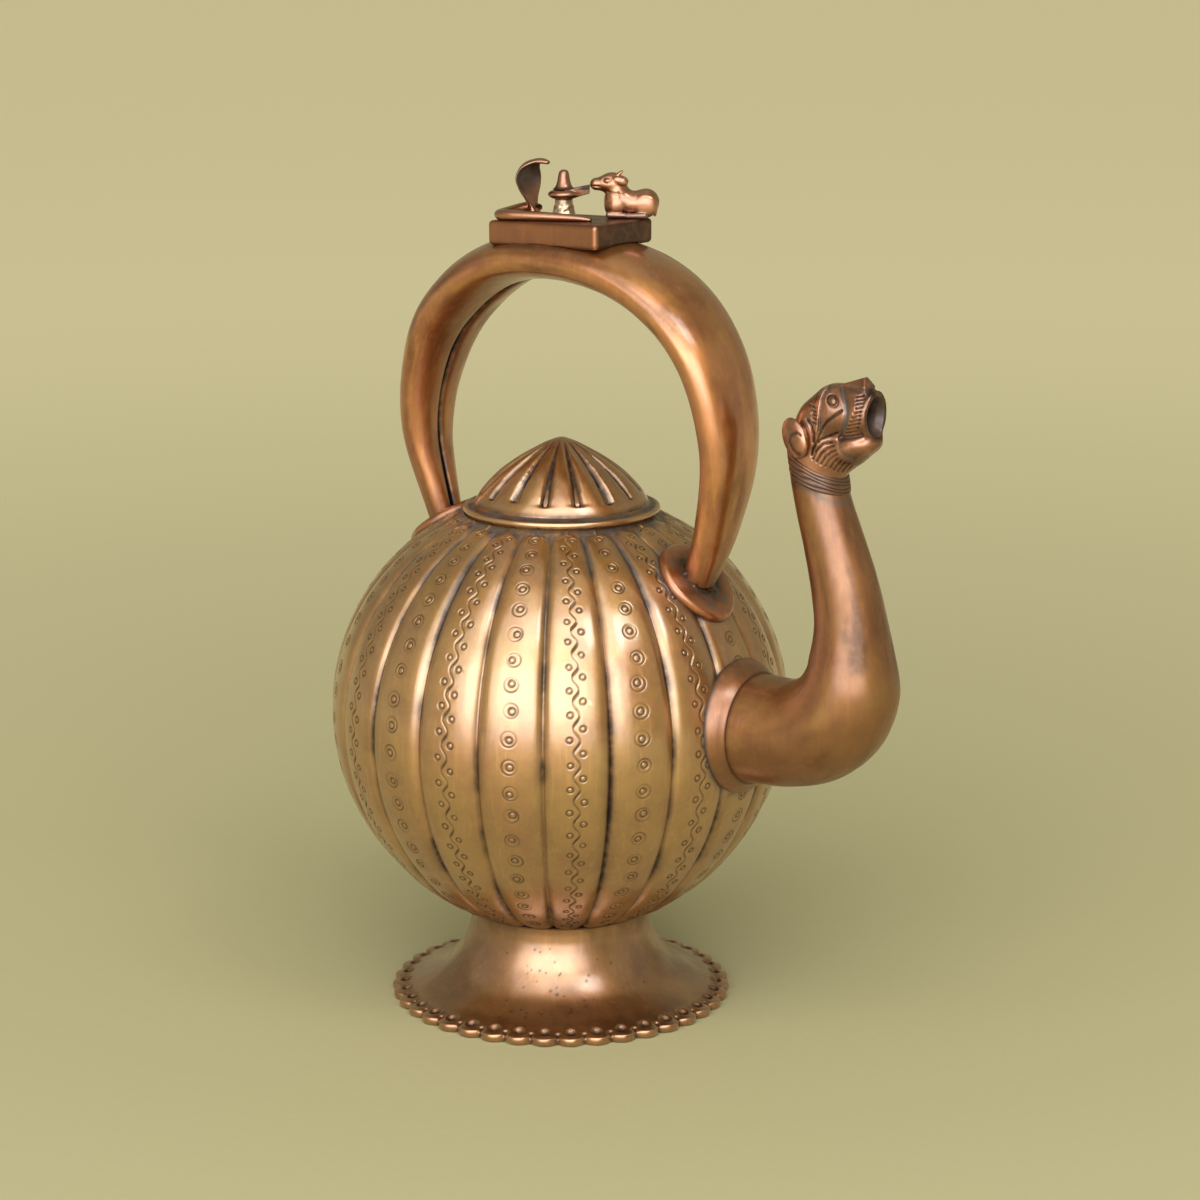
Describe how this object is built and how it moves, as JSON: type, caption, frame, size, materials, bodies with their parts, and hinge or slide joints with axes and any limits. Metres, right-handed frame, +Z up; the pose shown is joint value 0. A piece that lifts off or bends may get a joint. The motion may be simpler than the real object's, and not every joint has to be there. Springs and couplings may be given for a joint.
{
  "type": "gangajali water vessel",
  "caption": "Gangajali: footed, gadrooned brass water vessel with lift-off fluted lid, beast-head elbow spout and arched handle bearing a small cobra, lingam and bull.",
  "frame": {"origin": "centre of the bounding box in plan, on the surface that the foot stands on", "axes": "+Z up, +X towards the spout, handle and spout in the XZ plane"},
  "size_m": [0.2352, 0.1742, 0.3224],
  "materials": {
    "golden_brass": "satin, patinated grooves",
    "red_brass": "satin, brown patina",
    "dark_brass": "dark patina",
    "solder_brass": "rough, silvery"
  },
  "bodies": {
    "vessel": {"foot": "red_brass", "bowl_lower": "golden_brass", "bowl_upper": "golden_brass", "mouth_collar": "dark_brass", "spout_collar": "red_brass", "spout_tube": "red_brass", "spout_band": "red_brass", "spout_head": "red_brass", "handle_tube": "red_brass", "handle_escutcheon_front": "red_brass", "handle_escutcheon_rear": "red_brass", "plinth": "red_brass", "naga": "dark_brass", "yoni_pedestal": "solder_brass", "yoni_disc": "golden_brass", "lingam": "red_brass", "nandi": "red_brass"},
    "lid": {"lid_dome": "red_brass", "lid_brim": "golden_brass", "lid_sleeve": "golden_brass"}
  },
  "joints": [
    {"name": "lid_lift", "type": "slide", "parent": "vessel", "child": "lid", "axis": [0, 0, 1], "range_m": [0, 0.05]}
  ]
}
